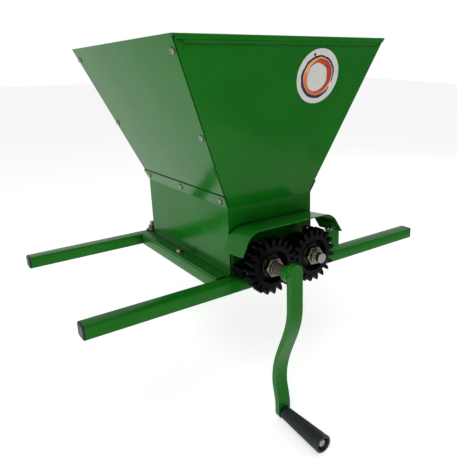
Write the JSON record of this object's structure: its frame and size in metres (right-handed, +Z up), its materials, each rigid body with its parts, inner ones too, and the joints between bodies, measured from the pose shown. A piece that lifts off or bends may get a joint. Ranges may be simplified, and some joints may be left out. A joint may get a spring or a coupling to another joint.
{
  "type": "grape crusher",
  "caption": "Hand-cranked grape crusher: flared sheet-metal hopper over geared crusher rollers, on a rail frame that rests across a tub.",
  "frame": {"origin": "midway between the rails, in the plane of their undersides, where they rest on a tub's rim", "axes": "+X along the rails, -Y towards the crank, +Z up"},
  "size_m": [0.808, 0.6444, 0.7325],
  "materials": {
    "green_paint": "gloss",
    "zinc_steel": "satin",
    "turned_steel": "satin",
    "roller_alloy": "cast",
    "gear_plastic": "matte",
    "cap_plastic": "matte",
    "grip_plastic": "matte",
    "bush_bronze": "satin",
    "label_vinyl": "gloss",
    "black_oxide": "matte"
  },
  "bodies": {
    "frame": {"front_rail": "green_paint", "rear_rail": "green_paint", "left_cross_tube": "green_paint", "right_cross_tube": "green_paint", "rail_end_caps": "cap_plastic", "left_housing_side": "green_paint", "right_housing_side": "green_paint", "front_hopper_sheet": "green_paint", "rear_hopper_sheet": "green_paint", "left_hopper_panel": "green_paint", "right_hopper_panel": "green_paint", "hopper_screws": "zinc_steel", "foot_bolts": "zinc_steel", "front_bearing_plate": "green_paint", "rear_bearing_plate": "green_paint", "front_bearing_block": "gear_plastic", "bearing_plate_bolts": "zinc_steel", "rear_plate_studs": "zinc_steel", "shaft_bushes": "bush_bronze", "gear_guard": "green_paint", "guard_post": "green_paint", "guard_rivets": "zinc_steel", "guard_bolt": "zinc_steel", "round_label": "label_vinyl"},
    "drive": {"drive_shaft": "turned_steel", "drive_roller": "roller_alloy", "drive_gear": "gear_plastic", "drive_gear_washer": "black_oxide", "drive_gear_nut": "zinc_steel", "drive_shaft_collar": "zinc_steel", "crank_arm": "green_paint", "crank_set_screw": "black_oxide", "grip_spindle": "zinc_steel"},
    "driven": {"driven_shaft": "turned_steel", "driven_roller": "roller_alloy", "driven_gear": "gear_plastic", "driven_gear_washer": "black_oxide", "driven_gear_nut": "zinc_steel", "driven_shaft_collar": "zinc_steel"},
    "grip": {"crank_grip": "grip_plastic"}
  },
  "joints": [
    {"name": "crank_turn", "type": "hinge", "parent": "frame", "child": "drive", "pos_m": [-0.05, 0, 0.052], "axis": [0, 1, 0], "continuous": true},
    {"name": "driven_turn", "type": "hinge", "parent": "frame", "child": "driven", "pos_m": [0.05, 0, 0.052], "axis": [0, 1, 0], "continuous": true},
    {"name": "grip_spin", "type": "hinge", "parent": "drive", "child": "grip", "pos_m": [-0.05, 0, -0.253], "axis": [0, 1, 0], "continuous": true}
  ],
  "couplings": [
    {"joint": "driven_turn", "follows": "crank_turn", "ratio": -1}
  ]
}
